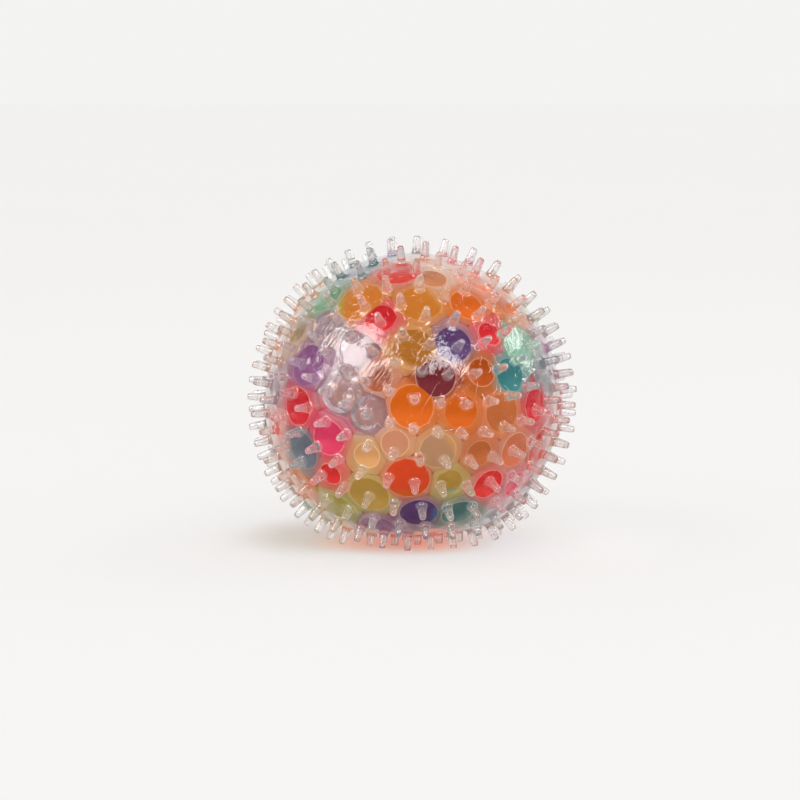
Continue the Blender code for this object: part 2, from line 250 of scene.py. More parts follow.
def makeStudio():
    right, upward, towards = viewAxes()
    scale = studio["pixelsPerMm"] / mm
    aside = (studio["framePixels"] / 2 - studio["ballPixel"][0]) / scale
    above = (studio["ballPixel"][1] - studio["framePixels"] / 2) / scale
    camera = bpy.data.objects.new("camera", bpy.data.cameras.new("camera"))
    bpy.context.scene.collection.objects.link(camera)
    camera.location = ball["centre"] + towards * studio["cameraDistance"] + right * aside + upward * above
    camera.rotation_mode = "QUATERNION"
    camera.rotation_quaternion = (-towards).to_track_quat("-Z", "Y")
    camera.data.sensor_width = 36
    camera.data.lens = scale * studio["cameraDistance"] / studio["framePixels"] * 36
    camera.data.clip_start, camera.data.clip_end = 0.01, 50
    bpy.context.scene.camera = camera

    def facing(name, data, way, distance):
        direction = (right * way[0] + upward * way[1] + towards * way[2]).normalized()
        lamp = bpy.data.objects.new(name, data)
        bpy.context.scene.collection.objects.link(lamp)
        lamp.location = ball["centre"] + direction * distance
        lamp.rotation_mode = "QUATERNION"
        lamp.rotation_quaternion = direction.to_track_quat("Z", "Y")
        return lamp

    for name, (way, size, watts) in studio["lamps"].items():
        light = bpy.data.lights.new(name, "AREA")
        light.shape, light.size, light.energy = "SQUARE", size, watts
        light.spread = math.radians(studio["lampSpread"])
        lamp = facing(name, light, way, studio["lampDistance"])
        lamp.visible_camera = lamp.visible_glossy = lamp.visible_transmission = False
    for name, (way, width, height, strength) in studio["cards"].items():
        mesh = bpy.data.meshes.new(name)
        corners = [(x * width / 2, y * height / 2, 0) for x, y in ((-1, -1), (1, -1), (1, 1), (-1, 1))]
        mesh.from_pydata(corners, [], [(0, 1, 2, 3)])
        card = facing(name, mesh, way, studio["cardDistance"])
        card.visible_camera = card.visible_diffuse = card.visible_shadow = False
        card.visible_transmission = card.visible_volume_scatter = False
        glow = Finish(name)
        away = glow.length(glow.grain(glow.place(), (width / 2, height / 2, 1)))
        lit = glow.node("ShaderNodeEmission", {}, {
            "Color": studio["cardColour"], "Strength": glow.step(away, 1.0, studio["cardCore"]) * strength})
        mesh.materials.append(glow.end(lit))

    half = studio["floorSize"] / 2
    mesh = bpy.data.meshes.new("floor")
    corners = [(-half, -half, 0), (half, -half, 0), (half, half, 0), (-half, half, 0)]
    mesh.from_pydata(corners, [], [(0, 1, 2, 3)])
    floor = bpy.data.objects.new("floor", mesh)
    bpy.context.scene.collection.objects.link(floor)
    paper = Finish("floorPaper")
    where = paper.place()
    pale = linear(studio["floor"])
    tones = (tuple(channel * share for channel in pale) for share in studio["floorTones"])
    tone = paper.mix(paper.noise(where, 2.0), *tones)
    behind = paper.step(paper.along(where, (0, 1, 0)), 0.0, studio["floorBehind"])
    glossed = paper.rays("Is Glossy Ray") * (1.0 - paper.rays("Is Transmission Ray")) * (1.0 - behind)
    tone = paper.mix(glossed, tone, tuple(channel * studio["worldGloss"] for channel in pale))
    lift = studio["floorGlow"] * (1.0 - glossed * (1.0 - studio["worldGloss"]))
    # Painted light and shadow: each patch's tint is multiplied into the floor's colour and its glow
    paintedTint = (1, 1, 1)
    for middle, radii, tint in studio["paintedLightAndShadow"].values():
        away = paper.length(paper.grain(where, (*radii, 1), middle=(*middle, 0)))
        paintedTint = paper.mix(paper.step(away, 1.0, studio["paintedPatchEdge"]), paintedTint, tint)
    mesh.materials.append(paper.end(paper.node("ShaderNodeBsdfPrincipled", {}, {
        "Base Color": paper.mix(1.0, tone, paintedTint, "MULTIPLY"), "Roughness": 0.9, "Specular IOR Level": 0.0,
        "Emission Color": paintedTint, "Emission Strength": lift})))

    world = bpy.data.worlds.new("studio")
    bpy.context.scene.world = world
    world.cycles.sampling_method = "NONE"  # so that its light isn't counted again through the clear skin
    sky = Finish("studio", world)
    direction = sky.node("ShaderNodeTexCoord", out="Generated")
    behind = sky.step(sky.along(direction, (0, 1, 0)), *studio["worldBehind"])
    glossed = sky.rays("Is Glossy Ray") * (1.0 - sky.rays("Is Transmission Ray"))
    plain, backdrop = studio["worldLight"], studio["backdrop"]
    level = (plain + (sky.rays("Is Camera Ray") + glossed) * (backdrop - plain)
             + glossed * (1.0 - behind) * (studio["worldGloss"] - backdrop))
    sky.end(sky.node("ShaderNodeBackground", {}, {"Color": studio["worldColour"], "Strength": level}))
    bpy.context.scene.view_settings.view_transform = "Standard"
    print("studio:", len(studio["lamps"]), "lamps,", len(studio["cards"]), "cards, floor, world and camera")


def finished(name, bm, materials):  # a piece of the ball, moved from its centre to its place
    bmesh.ops.transform(bm, matrix=Matrix.Translation(ball["centre"]), verts=bm.verts)
    mesh = bpy.data.meshes.new(name)
    bm.to_mesh(mesh)
    bm.free()
    mesh.shade_smooth()
    for material in materials:
        mesh.materials.append(material)
    piece = bpy.data.objects.new(name, mesh)
    bpy.context.scene.collection.objects.link(piece)
    return piece


# The spikes, in rings round the mould's axis

spikes = {
    "length": 3.6 * mm,
    "footRadius": 1.28 * mm,  # where the fillet meets the skin
    "tipRadius": 0.70 * mm,
    "lean": 0.20 * mm,  # the most that a tip stands off its place
    "sides": 10,
    "counts": (36, 36, 36, 30, 24, 18, 12, 6),  # in each ring from the equator to a pole
    "upperTurns": (2.6, 2.3, 7.9, 5.7, 5.8, 7.5, 27.7, 20.0),  # degrees
    "lowerTurns": (7.2, 10.8, 6.1, 11.7, 5.8, 17.5, 12.7, 50.0),
    "poleGap": 5.3 * mm,  # from a pole to the nearest spike's middle
    "seed": 4,
}

# The height of each ring of a spike, as a share of its length, and its width, 1 at the foot
tipWidth = 0.31
spikeHeights = (
    (0.0, 0.0), (0.167, 0.06), (0.333, 0.26), (0.5, 0.60), (0.667, 0.88), (0.833, 0.97), (1.0, 1.0),
)
spikeWidths = (
    (0.0, 1.0), (0.167, 0.66), (0.333, 0.53), (0.5, 0.41), (0.667, tipWidth), (0.833, 0.19), (1.0, 0.04),
)


def spikeDirections():
    axis = mouldAxis()
    first, second = sideVectors(axis)
    step = (math.pi / 2 - spikes["poleGap"] / ballRadius) / (len(spikes["counts"]) - 0.5)
    directions = []
    for turns, side in ((spikes["upperTurns"], 1), (spikes["lowerTurns"], -1)):
        for ring, (count, turn) in enumerate(zip(spikes["counts"], turns)):
            latitude = side * (ring + 0.5) * step
            for i in range(count):
                angle = math.radians(turn + 360 * i / count)
                around = first * math.cos(angle) + second * math.sin(angle)
                directions.append(around * math.cos(latitude) + axis * math.sin(latitude))
    return directions


def spikeTree(material):
    tree = bpy.data.node_groups.new("spikeRings", "GeometryNodeTree")
    tree.interface.new_socket(name="Geometry", in_out="OUTPUT", socket_type="NodeSocketGeometry")
    tree.interface.new_socket(name="Roots", in_out="INPUT", socket_type="NodeSocketGeometry")
    for name in ("Length", "Foot Radius", "Tip Radius"):
        tree.interface.new_socket(name=name, in_out="INPUT", socket_type="NodeSocketFloat")
    tree.interface.new_socket(name="Sides", in_out="INPUT", socket_type="NodeSocketInt")

    def node(kind, settings=None, inputs=()):
        made = tree.nodes.new(kind)
        for name, value in (settings or {}).items():
            setattr(made, name, value)
        for name, value in (inputs.items() if isinstance(inputs, dict) else enumerate(inputs)):
            if isinstance(value, bpy.types.NodeSocket):
                tree.links.new(value, made.inputs[name])
            else:
                made.inputs[name].default_value = value
        return made

    def maths(operation, *values):
        return node("ShaderNodeMath", {"operation": operation}, values).outputs[0]

    def curve(value, points):
        made = node("ShaderNodeFloatCurve", {}, {"Value": value})
        line = made.mapping.curves[0]
        while len(line.points) < len(points):
            line.points.new(0.5, 0.5)
        for point, place in zip(line.points, points):
            point.location, point.handle_type = place, "VECTOR"
        made.mapping.update()
        return made.outputs[0]

    given = node("NodeGroupInput").outputs
    rod = node("GeometryNodeMeshCylinder", {"fill_type": "NGON"}, {
        "Vertices": given["Sides"], "Side Segments": len(spikeHeights) - 1, "Radius": 1.0, "Depth": 1.0})
    opened = node("GeometryNodeDeleteGeometry", {"domain": "FACE", "mode": "ONLY_FACE"},
                 {"Geometry": rod.outputs["Mesh"], "Selection": rod.outputs["Bottom"]})
    place = node("ShaderNodeSeparateXYZ", {}, (node("GeometryNodeInputPosition").outputs[0],)).outputs
    share = maths("ADD", place["Z"], 0.5)
    height = curve(share, spikeHeights)
    width = curve(share, spikeWidths)
    radius = maths("ADD", given["Tip Radius"],
                   maths("MULTIPLY", maths("SUBTRACT", given["Foot Radius"], given["Tip Radius"]),
                         maths("DIVIDE", maths("SUBTRACT", width, tipWidth), 1 - tipWidth)))
    shaped = node("ShaderNodeCombineXYZ", {}, (maths("MULTIPLY", place["X"], radius),
                                               maths("MULTIPLY", place["Y"], radius),
                                               maths("MULTIPLY", height, given["Length"])))
    rod = node("GeometryNodeSetPosition", {}, {"Geometry": opened.outputs[0], "Position": shaped.outputs[0]})
    rod = node("GeometryNodeStoreNamedAttribute", {"data_type": "FLOAT", "domain": "POINT"},
               {"Geometry": rod.outputs[0], "Name": "spikeShare", "Value": height})
    rise = node("GeometryNodeInputNamedAttribute", {"data_type": "FLOAT_VECTOR"}, {"Name": "rise"}).outputs[0]
    turn = node("FunctionNodeAlignRotationToVector", {"axis": "Z"}, {"Vector": rise}).outputs[0]
    row = node("GeometryNodeInstanceOnPoints", {},
               {"Points": given["Roots"], "Instance": rod.outputs[0], "Rotation": turn})
    row = node("GeometryNodeRealizeInstances", {}, (row.outputs[0],))
    lean = node("GeometryNodeInputNamedAttribute", {"data_type": "FLOAT_VECTOR"}, {"Name": "lean"}).outputs[0]
    up = node("GeometryNodeInputNamedAttribute", {"data_type": "FLOAT"}, {"Name": "spikeShare"}).outputs[0]
    moved = node("ShaderNodeVectorMath", {"operation": "SCALE"},
                 {"Vector": lean, "Scale": maths("MULTIPLY", up, up)})
    row = node("GeometryNodeSetPosition", {}, {"Geometry": row.outputs[0], "Offset": moved.outputs[0]})
    row = node("GeometryNodeSetMaterial", {}, {"Geometry": row.outputs[0], "Material": material})
    tree.links.new(row.outputs[0], node("NodeGroupOutput").inputs[0])
    return tree


def makeSpikes(material):  # open at their feet, about the ball's centre
    directions = spikeDirections()
    roots = bpy.data.meshes.new("spikeRoots")
    roots.from_pydata([onSkin(direction) for direction in directions], [], [])
    rises = [skinNormal(direction) for direction in directions]
    chance = random.Random(spikes["seed"])
    leans = []
    for rise in rises:
        first, second = sideVectors(rise)
        angle, amount = chance.uniform(0, 2 * math.pi), spikes["lean"] * math.sqrt(chance.random())
        leans.append((first * math.cos(angle) + second * math.sin(angle)) * amount)
    for name, vectors in (("rise", rises), ("lean", leans)):
        stored = roots.attributes.new(name, "FLOAT_VECTOR", "POINT")
        stored.data.foreach_set("vector", [value for vector in vectors for value in vector])
    holder = bpy.data.objects.new("spikeRoots", roots)
    bpy.context.scene.collection.objects.link(holder)
    tree = spikeTree(material)
    grown = holder.modifiers.new("spikeRings", "NODES")
    grown.node_group = tree
    values = {
        "Length": spikes["length"],
        "Foot Radius": spikes["footRadius"],
        "Tip Radius": spikes["tipRadius"],
        "Sides": spikes["sides"],
    }
    for item in tree.interface.items_tree:
        if item.in_out == "INPUT" and item.name in values:
            grown[item.identifier] = values[item.name]
    mesh = bpy.data.meshes.new_from_object(holder.evaluated_get(bpy.context.evaluated_depsgraph_get()))
    holder.modifiers.remove(grown)
    bpy.data.objects.remove(holder)
    print("spikes:", len(directions))
    return mesh


# The skin: one clear moulding with its spikes and the filling hole

skinFinish = {
    "tint": (0.985, 0.972, 0.968),
    "milk": (0.93, 0.90, 0.895),
    "ior": 1.47,
    "roughness": 0.06,
    "dull": ((0.35, 0.75), 0.08),  # where the ripple makes it rougher, and by how much
    "milkRoughness": 0.35,
    "shade": (0.93, 0.92, 0.91),  # of the lamps' light that passes the skin
    "milky": (0.0, 0.72, 0.42, 0.95),  # from every side, then at a low angle, from and to what angle
    "spikeMilky": (0.12, 0.50, 0.50, 1.0),
    "streakTurn": (0.0, math.radians(-55), 0.0),
    "streakSizes": (5.0 * mm, 0.45 * mm, 0.45 * mm),
    "rippleSizes": (9.0 * mm, 1.3 * mm, 1.3 * mm),
    "hairSizes": (16.0 * mm, 5.0 * mm, 5.0 * mm),
    "hairTurn": (0.3, math.radians(-70), 0.2),
    "hairWidth": 0.012,
    "rippleShare": 1.2,  # of the streaks' depth
    "hairShare": 0.9,
    "streakDepth": 0.09 * mm,
    "wetTones": ((1.0, 0.995, 0.99), (0.985, 0.98, 0.975)),
    "wetScale": 90,
}
hole = {"radius": 2.5 * mm, "points": 40}
skinMesh = {
    "outerPoints": 9000,
    "innerPoints": 5000,
    "footRoom": 1.35,  # foot radii from a spike in which the skin has no other points
    "holeRoom": 1.2,
    "weld": 0.004 * mm,
    "sharpAngle": 62,  # degrees
}


def makeSkinFinish(name, milky):
    skin = Finish(name)
    where = skin.place()
    fine = skin.noise(skin.grain(where, skinFinish["streakSizes"], skinFinish["streakTurn"]), 1.0, 3.0)
    ripple = skin.noise(skin.grain(where, skinFinish["rippleSizes"], skinFinish["streakTurn"]), 1.0, 1.0)
    hair = skin.noise(skin.grain(where, skinFinish["hairSizes"], skinFinish["hairTurn"]), 1.0, 1.0)
    offLine = skin.node("ShaderNodeMath", {"operation": "ABSOLUTE"}, (hair - 0.5,))
    line = skin.step(offLine, 0.0, skinFinish["hairWidth"])
    height = fine + ripple * skinFinish["rippleShare"] + line * skinFinish["hairShare"]
    bump = skin.node("ShaderNodeBump", {}, {
        "Strength": 1.0, "Distance": skinFinish["streakDepth"], "Height": height})
    (dullFrom, dullTo), dull = skinFinish["dull"]
    rough = skin.step(ripple, dullFrom, dullTo) * dull + skinFinish["roughness"]
    glass = skin.node("ShaderNodeBsdfPrincipled", {}, {
        "Base Color": skinFinish["tint"], "Roughness": rough, "IOR": skinFinish["ior"],
        "Transmission Weight": 1.0, "Normal": bump})
    cloudy = skin.node("ShaderNodeBsdfPrincipled", {}, {
        "Base Color": skinFinish["milk"], "Roughness": skinFinish["milkRoughness"], "IOR": skinFinish["ior"]})
    facing = skin.node("ShaderNodeLayerWeight", {}, {"Blend": 0.5}, out="Facing")
    plain, low, start, end = milky
    share = skin.step(facing, start, end) * low + plain
    body = skin.node("ShaderNodeMixShader", {}, (share, glass, cloudy))
    clear = skin.node("ShaderNodeBsdfTransparent", {}, {"Color": skinFinish["shade"]})
    return skin.end(skin.node("ShaderNodeMixShader", {}, (skin.rays("Is Shadow Ray"), body, clear)))


def makeWetFinish():  # the skin's inner side, where wet gel lies on it and light passes straight on
    wet = Finish("wetRubber")
    tone = wet.mix(wet.noise(wet.place(), skinFinish["wetScale"]), *skinFinish["wetTones"])
    glass = wet.node("ShaderNodeBsdfPrincipled", {}, {
        "Base Color": tone, "Roughness": 0.0, "IOR": 1.0, "Transmission Weight": 1.0})
    clear = wet.node("ShaderNodeBsdfTransparent", {}, {"Color": (1, 1, 1)})
    return wet.end(wet.node("ShaderNodeMixShader", {}, (wet.rays("Is Shadow Ray"), glass, clear)))


def hullOver(bm, rings, others):  # a skin over points, open inside each ring
    # The points are joined up on a sphere and then put in place
    points = [point for ring in rings for point in ring] + others
    verts = [bm.verts.new(point.normalized()) for point in points]
    owner = {}
    for number, ring in enumerate(rings):
        for _ in ring:
            owner[verts[len(owner)]] = number
    made = bmesh.ops.convex_hull(bm, input=verts)
    faces = [item for item in made["geom"] if isinstance(item, bmesh.types.BMFace)]
    inside = [face for face in faces if all(vert in owner for vert in face.verts)
              and len({owner[vert] for vert in face.verts}) == 1]
    bmesh.ops.delete(bm, geom=inside, context="FACES")
    for vert, point in zip(verts, points):
        vert.co = point


def awayFrom(points, middles, gap):
    tree = KDTree(len(middles))
    for number, middle in enumerate(middles):
        tree.insert(middle, number)
    tree.balance()
    return [point for point in points if tree.find(point)[2] > gap]


def makeSkin():
    material = makeSkinFinish("clearRubber", skinFinish["milky"])
    spikeMesh = makeSpikes(material)
    feet, points = [], [vert.co.copy() for vert in spikeMesh.vertices]
    uses = {}
    for face in spikeMesh.polygons:
        for key in face.edge_keys:
            uses[key] = uses.get(key, 0) + 1
    for face in spikeMesh.polygons:
        face.material_index = 2
    rim = sorted({number for key, count in uses.items() if count == 1 for number in key})
    sides = spikes["sides"]
    for start in range(0, len(rim), sides):
        feet.append([points[number] for number in rim[start:start + sides]])
    middles = [sum(foot, Vector()) / sides for foot in feet]

    down = -mouldAxis()
    rise = skinNormal(down)
    first, second = sideVectors(rise)
    turns = [2 * math.pi * i / hole["points"] for i in range(hole["points"])]
    offsets = [(first * math.cos(turn) + second * math.sin(turn)) * hole["radius"] for turn in turns]
    outerRing = [onSkin(down) + offset for offset in offsets]
    innerRing = [point - rise * ball["wall"] for point in outerRing]

    bm = bmesh.new()
    fill = [onSkin(direction) for direction in spread(skinMesh["outerPoints"])]
    fill = awayFrom(fill, middles, spikes["footRadius"] * skinMesh["footRoom"])
    fill = awayFrom(fill, [onSkin(down)], hole["radius"] * skinMesh["holeRoom"])
    hullOver(bm, feet + [outerRing], fill)
    inner = bmesh.new()
    fill = [onSkin(direction, ball["wall"]) for direction in spread(skinMesh["innerPoints"])]
    fill = awayFrom(fill, [onSkin(down, ball["wall"])], hole["radius"] * skinMesh["holeRoom"])
    hullOver(inner, [innerRing], fill)
    for face in inner.faces:
        face.material_index = 1
    inside = bpy.data.meshes.new("inside")
    inner.to_mesh(inside)
    inner.free()
    bm.from_mesh(inside)
    bm.from_mesh(spikeMesh)
    upper, lower = ([bm.verts.new(point) for point in ring] for ring in (outerRing, innerRing))
    for i in range(len(upper)):
        bm.faces.new((upper[i - 1], upper[i], lower[i], lower[i - 1]))
    bmesh.ops.remove_doubles(bm, verts=bm.verts, dist=skinMesh["weld"])
    bmesh.ops.holes_fill(bm, edges=[edge for edge in bm.edges if edge.is_boundary], sides=3)
    bm.normal_update()
    bmesh.ops.recalc_face_normals(bm, faces=bm.faces)
    ground = -ball["centre"].z
    for vert in bm.verts:
        vert.co.z = max(vert.co.z, ground)
    openEdges = sum(1 for edge in bm.edges if len(edge.link_faces) != 2)
    print("skin:", len(bm.faces), "faces,", openEdges, "open edges,", len(feet), "spikes")
    finishes = [material, makeWetFinish(), makeSkinFinish("spikeRubber", skinFinish["spikeMilky"])]
    piece = finished("clearSkin", bm, finishes)
    piece.data.set_sharp_from_angle(angle=math.radians(skinMesh["sharpAngle"]))
    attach(piece, "root")
    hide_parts("skin")


# The stopper in the filling hole

stopper = {
    "headRadius": 3.4 * mm,
    "headHeight": 0.8 * mm,
    "edgeRadius": 0.3 * mm,
    "gap": 0.35 * mm,
    "dimpleRadius": 1.1 * mm,
    "dimpleDepth": 0.25 * mm,
    "dimpleRings": (0.4, 0.7, 0.9, 1.0),  # shares of its radius
    "edgeTurns": (0, 22, 45, 68, 90),  # degrees
    "steps": 64,
    "weld": 0.005 * mm,
    "sharpAngle": 50,  # degrees
    "tones": ((0.90, 0.87, 0.86), (0.82, 0.78, 0.78)),
    "toneScale": 500,
    "grainScale": 2500,
    "grainDepth": 0.03 * mm,
    "roughness": 0.35,
    "glow": 0.05,
}


def makeStopper():
    head, gap = stopper["headRadius"], stopper["gap"]
    top, edge = gap + stopper["headHeight"], stopper["edgeRadius"]
    stem = hole["radius"] - gap
    dimple, deep = stopper["dimpleRadius"], stopper["dimpleDepth"]
    profile = [(0, top - deep)]
    profile += [(dimple * share, top - deep * (1 - share ** 2) ** 0.5) for share in stopper["dimpleRings"]]
    for turn in stopper["edgeTurns"]:
        angle = math.radians(turn)
        profile.append((head - edge + edge * math.sin(angle), top - edge + edge * math.cos(angle)))
    profile += [(head, gap + edge * 0.3), (head - edge * 0.3, gap)]
    profile += [(stem + edge * 0.4, gap), (stem, gap - edge * 0.4)]
    profile += [(stem, -ball["wall"] + edge), (stem - edge * 0.6, -ball["wall"]), (0, -ball["wall"])]
    down = -mouldAxis()
    rise = skinNormal(down)
    place = Matrix.Translation(onSkin(down)) @ rise.to_track_quat("Z", "Y").to_matrix().to_4x4()
    bm = bmesh.new()
    line = [bm.verts.new((radius, 0, height)) for radius, height in profile]
    edges = [bm.edges.new(pair) for pair in zip(line, line[1:])]
    bmesh.ops.spin(bm, geom=line + edges, cent=(0, 0, 0), axis=(0, 0, 1), angle=2 * math.pi,
                   steps=stopper["steps"], use_duplicate=False)
    bmesh.ops.remove_doubles(bm, verts=bm.verts, dist=stopper["weld"])
    bmesh.ops.recalc_face_normals(bm, faces=bm.faces)
    bmesh.ops.transform(bm, matrix=place, verts=bm.verts)
    cloudy = Finish("cloudyRubber")
    where = cloudy.place()
    light, dark = (linear(tone) for tone in stopper["tones"])
    tone = cloudy.mix(cloudy.noise(where, stopper["toneScale"], 3.0), light, dark)
    height = cloudy.noise(where, stopper["grainScale"])
    grain = cloudy.node("ShaderNodeBump", {}, {
        "Strength": 0.3, "Distance": stopper["grainDepth"], "Height": height})
    rubber = cloudy.node("ShaderNodeBsdfPrincipled", {}, {
        "Base Color": tone, "Roughness": stopper["roughness"], "IOR": skinFinish["ior"], "Normal": grain,
        "Emission Color": tone, "Emission Strength": stopper["glow"]})
    piece = finished("fillStopper", bm, [cloudy.end(rubber)])
    piece.data.set_sharp_from_angle(angle=math.radians(stopper["sharpAngle"]))
    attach(piece, "root")
    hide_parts("stopper")
    print("stopper:", len(piece.data.polygons), "faces")


# The water beads

beads = {
    "diameter": 10.0 * mm,
    "spacing": 9.2 * mm,  # of the beads out of sight
    "press": 1.0 * mm,
    "crowding": 0.75,  # the least share of that spacing at which one more bead goes in
    "spots": 1200,  # places that are tried for them
    "settlingSteps": 25,
    "sway": 0.15,
    "swayReach": 1.3,  # spacings within which two of them push each other
    "rearDiscs": (2.2 * mm, 4.0 * mm),  # least and greatest radius
    "reachSteps": 26,
    "clearance": 0.35 * mm,  # between the frame's solids
    "bulge": 1.25,  # how far a squeezed bead reaches into the corners between others, in radii
    "near": 2.2,  # diameters within which another bead can touch it
    "gap": 0.02 * mm,  # between the beads seen here
    "skinGap": 0.08 * mm,
    "blend": 0.9 * mm,  # how far a neighbour's pale colour spreads
    "valley": 0.22 * mm,  # how far the seams between beads lie under the skin
    "reach": 8.5 * mm,  # the furthest that a bead spreads along the skin
    "around": 44,  # points in each ring
    "facetAngle": 90 / 16,  # degrees, half a facet of the frame's inner skin
    "solidDisc": 0.9,  # the widest disc of a solid, in radii
    "widestDisc": 0.97,
    "clearReach": 0.985,  # radii that a clear bead spreads along the skin
    "discShare": 0.9,  # of the way to the neighbour that a disc takes at most
    "leastRim": 0.3 * mm,
    "discRings": (0.25, 0.55, 0.8, 0.94, 1.0),  # shares of the disc
    "rimRings": (0.08, 0.25, 0.45, 0.65, 0.82, 0.93, 1.0),  # of the way from the disc to the neighbour
    "bodyRings": (0.10, 0.22, 0.36, 0.52, 0.68, 0.84),  # of the way from there to the foot
    "deepMark": 9.0,  # stands for the body in the map of distances from the disc's edge
    "rimDrop": 0.02 * mm,
    "viewRadius": 144,  # pixels of the skin's inside in the photograph
    "viewCentre": (411, 399),
    "lowerGlow": 1.25,  # how much brighter the painted light makes a disc's lower part
    "variation": 0.02,  # of the dyes, from bead to bead
    "glow": 0.04,  # the light that comes through the gel from beyond
    "underGlow": 0.4,
    "underFrom": -0.75,  # beads whose direction lies lower take an under dye
    "unlike": 5,  # nearest beads whose dyes it doesn't take
    "outlineFacing": -0.12,  # how far behind the outline a bead can still show
    "litSideSweep": (0.0, 1.0),  # how a painted lighter side in another dye's colour lies over a disc: at its middle, and more at its edge
    # the same for the painted lighter lower part of the other discs
    "plainSweep": (0.66, 0.45),
    "rims": (0.1, 0.5),  # the least and the most of the painted highlight, a bright line round a disc
    "limbDiscs": 0.28,  # how much wider the discs are that lie near the outline
    "seed": 11,
}
coreRadius = ballRadius - ball["wall"] - 2 * beads["clearance"] - beads["diameter"]

# Gel colours as they show: the full colour where a bead touches the skin, and round it a pale one, the gel's
# colour under a painted haze of light
dyesAndHaze = {
    "tangerine": ((0.78, 0.37, 0.01), (0.82, 0.47, 0.24)),
    "orange": ((0.79, 0.41, 0.06), (0.82, 0.49, 0.22)),
    "marigold": ((0.79, 0.48, 0.15), (0.80, 0.54, 0.30)),
    "amber": ((0.74, 0.41, 0.21), (0.82, 0.50, 0.34)),
    "honey": ((0.68, 0.44, 0.14), (0.78, 0.56, 0.34)),
    "umber": ((0.79, 0.42, 0.28), (0.84, 0.59, 0.51)),
    "vermilion": ((0.84, 0.29, 0.13), (0.81, 0.49, 0.38)),
    "tan": ((0.72, 0.57, 0.43), (0.80, 0.60, 0.43)),
    "blush": ((0.78, 0.55, 0.43), (0.82, 0.62, 0.47)),
    "straw": ((0.80, 0.60, 0.38), (0.80, 0.64, 0.44)),
    "olive": ((0.69, 0.55, 0.24), (0.73, 0.66, 0.41)),
    "lime": ((0.65, 0.60, 0.24), (0.70, 0.69, 0.47)),
    "red": ((0.84, 0.14, 0.13), (0.84, 0.44, 0.41)),
    "scarlet": ((0.76, 0.20, 0.14), (0.83, 0.53, 0.48)),
    "crimson": ((0.79, 0.12, 0.16), (0.81, 0.34, 0.39)),
    "raspberry": ((0.80, 0.21, 0.36), (0.82, 0.31, 0.41)),
    "slate": ((0.38, 0.42, 0.46), (0.52, 0.53, 0.54)),
    "salmon": ((0.78, 0.36, 0.30), (0.79, 0.52, 0.48)),
    "mauve": ((0.50, 0.34, 0.40), (0.72, 0.59, 0.60)),
    "violet": ((0.52, 0.31, 0.50), (0.62, 0.44, 0.57)),
    "clear": ((0.80, 0.74, 0.77), (0.80, 0.70, 0.72)),
    "copper": ((0.61, 0.33, 0.20), (0.78, 0.54, 0.46)),
    "maroon": ((0.40, 0.09, 0.13), (0.62, 0.27, 0.21)),
    "indigo": ((0.34, 0.22, 0.42), (0.60, 0.47, 0.51)),
    "peach": ((0.73, 0.46, 0.28), (0.83, 0.71, 0.64)),
    "teal": ((0.22, 0.50, 0.52), (0.48, 0.63, 0.61)),
    "sea": ((0.46, 0.62, 0.48), (0.56, 0.66, 0.57)),
    "mint": ((0.46, 0.66, 0.56), (0.48, 0.64, 0.56)),
    "sky": ((0.28, 0.42, 0.60), (0.55, 0.62, 0.69)),
    "bronze": ((0.56, 0.42, 0.22), (0.72, 0.57, 0.46)),
    "pine": ((0.06, 0.30, 0.34), (0.44, 0.60, 0.60)),
    "moss": ((0.36, 0.54, 0.38), (0.46, 0.58, 0.48)),
    "rust": ((0.68, 0.31, 0.01), (0.74, 0.42, 0.20)),
    "rose": ((0.82, 0.24, 0.36), (0.85, 0.58, 0.60)),
    "cherry": ((0.85, 0.14, 0.13), (0.85, 0.52, 0.52)),
    "fir": ((0.28, 0.44, 0.42), (0.54, 0.60, 0.54)),
    "coral": ((0.84, 0.36, 0.33), (0.82, 0.52, 0.50)),
}

